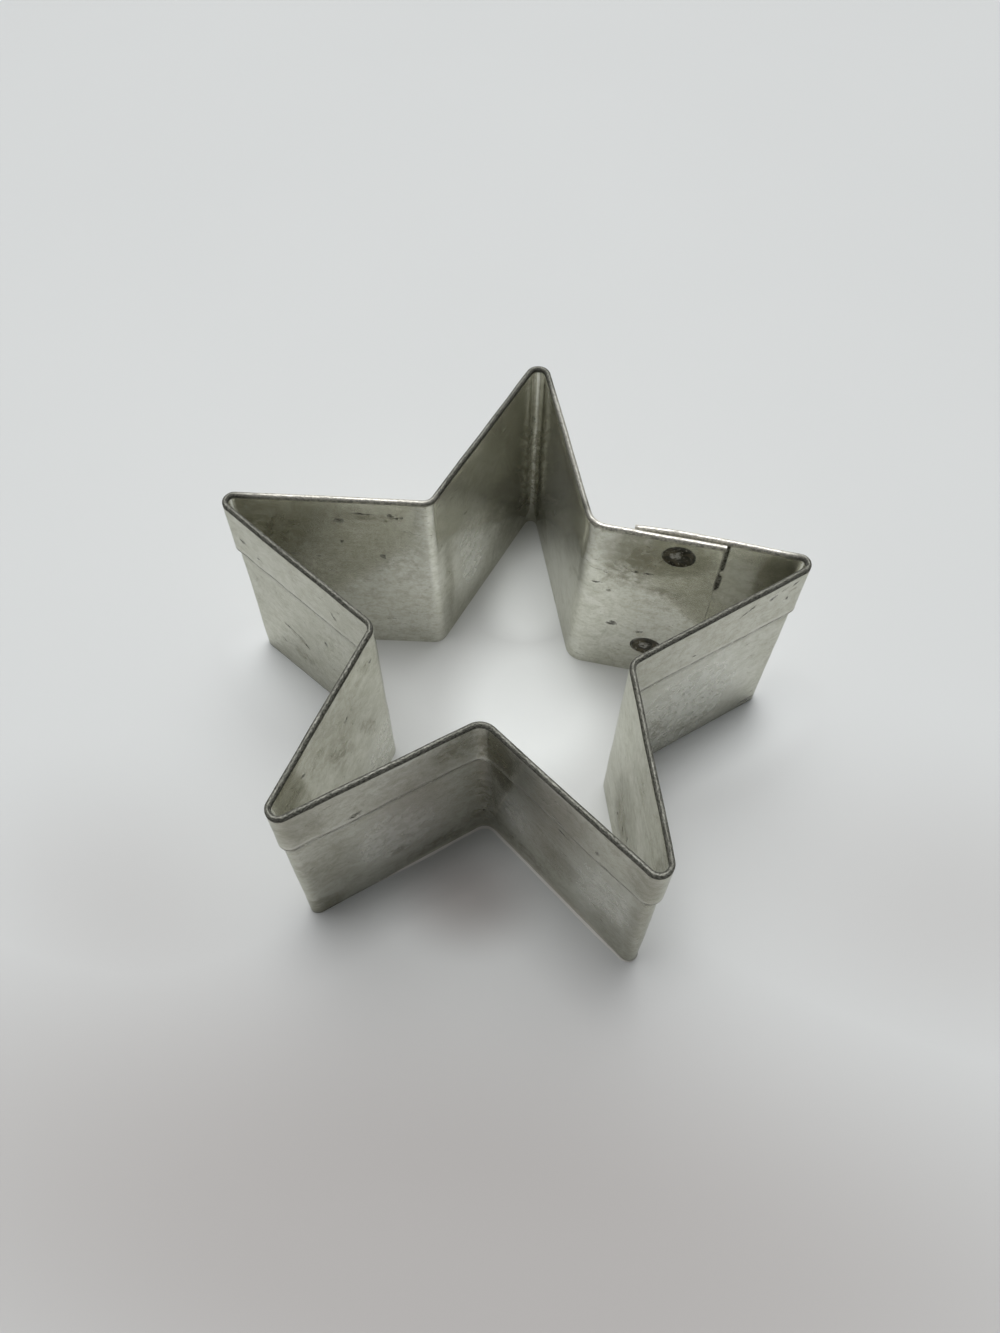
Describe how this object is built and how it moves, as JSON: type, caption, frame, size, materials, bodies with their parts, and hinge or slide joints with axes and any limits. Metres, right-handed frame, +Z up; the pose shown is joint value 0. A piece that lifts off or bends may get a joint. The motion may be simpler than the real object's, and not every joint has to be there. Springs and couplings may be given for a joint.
{
  "type": "cookie cutter",
  "caption": "Star-shaped tinplate cookie cutter: one strip with a hemmed rim, bent into a star, lapped and spot welded, with a raw cutting edge below.",
  "frame": {"origin": "middle of the star's box, on the plane of the cutting edge", "axes": "+Z up from the cutting edge to the hemmed rim, +Y towards the tip opposite the two near arms, +X to the right, towards the arm beside the lap"},
  "size_m": [0.0688, 0.0656, 0.0317],
  "materials": {
    "tinplate": "dull aged tinplate with fine scratches",
    "weld_metal": "scorched spot weld with a dished face"
  },
  "bodies": {
    "root": {"hemmed_strip": "tinplate", "upper_spot_weld": "weld_metal", "lower_spot_weld": "weld_metal"}
  },
  "joints": []
}
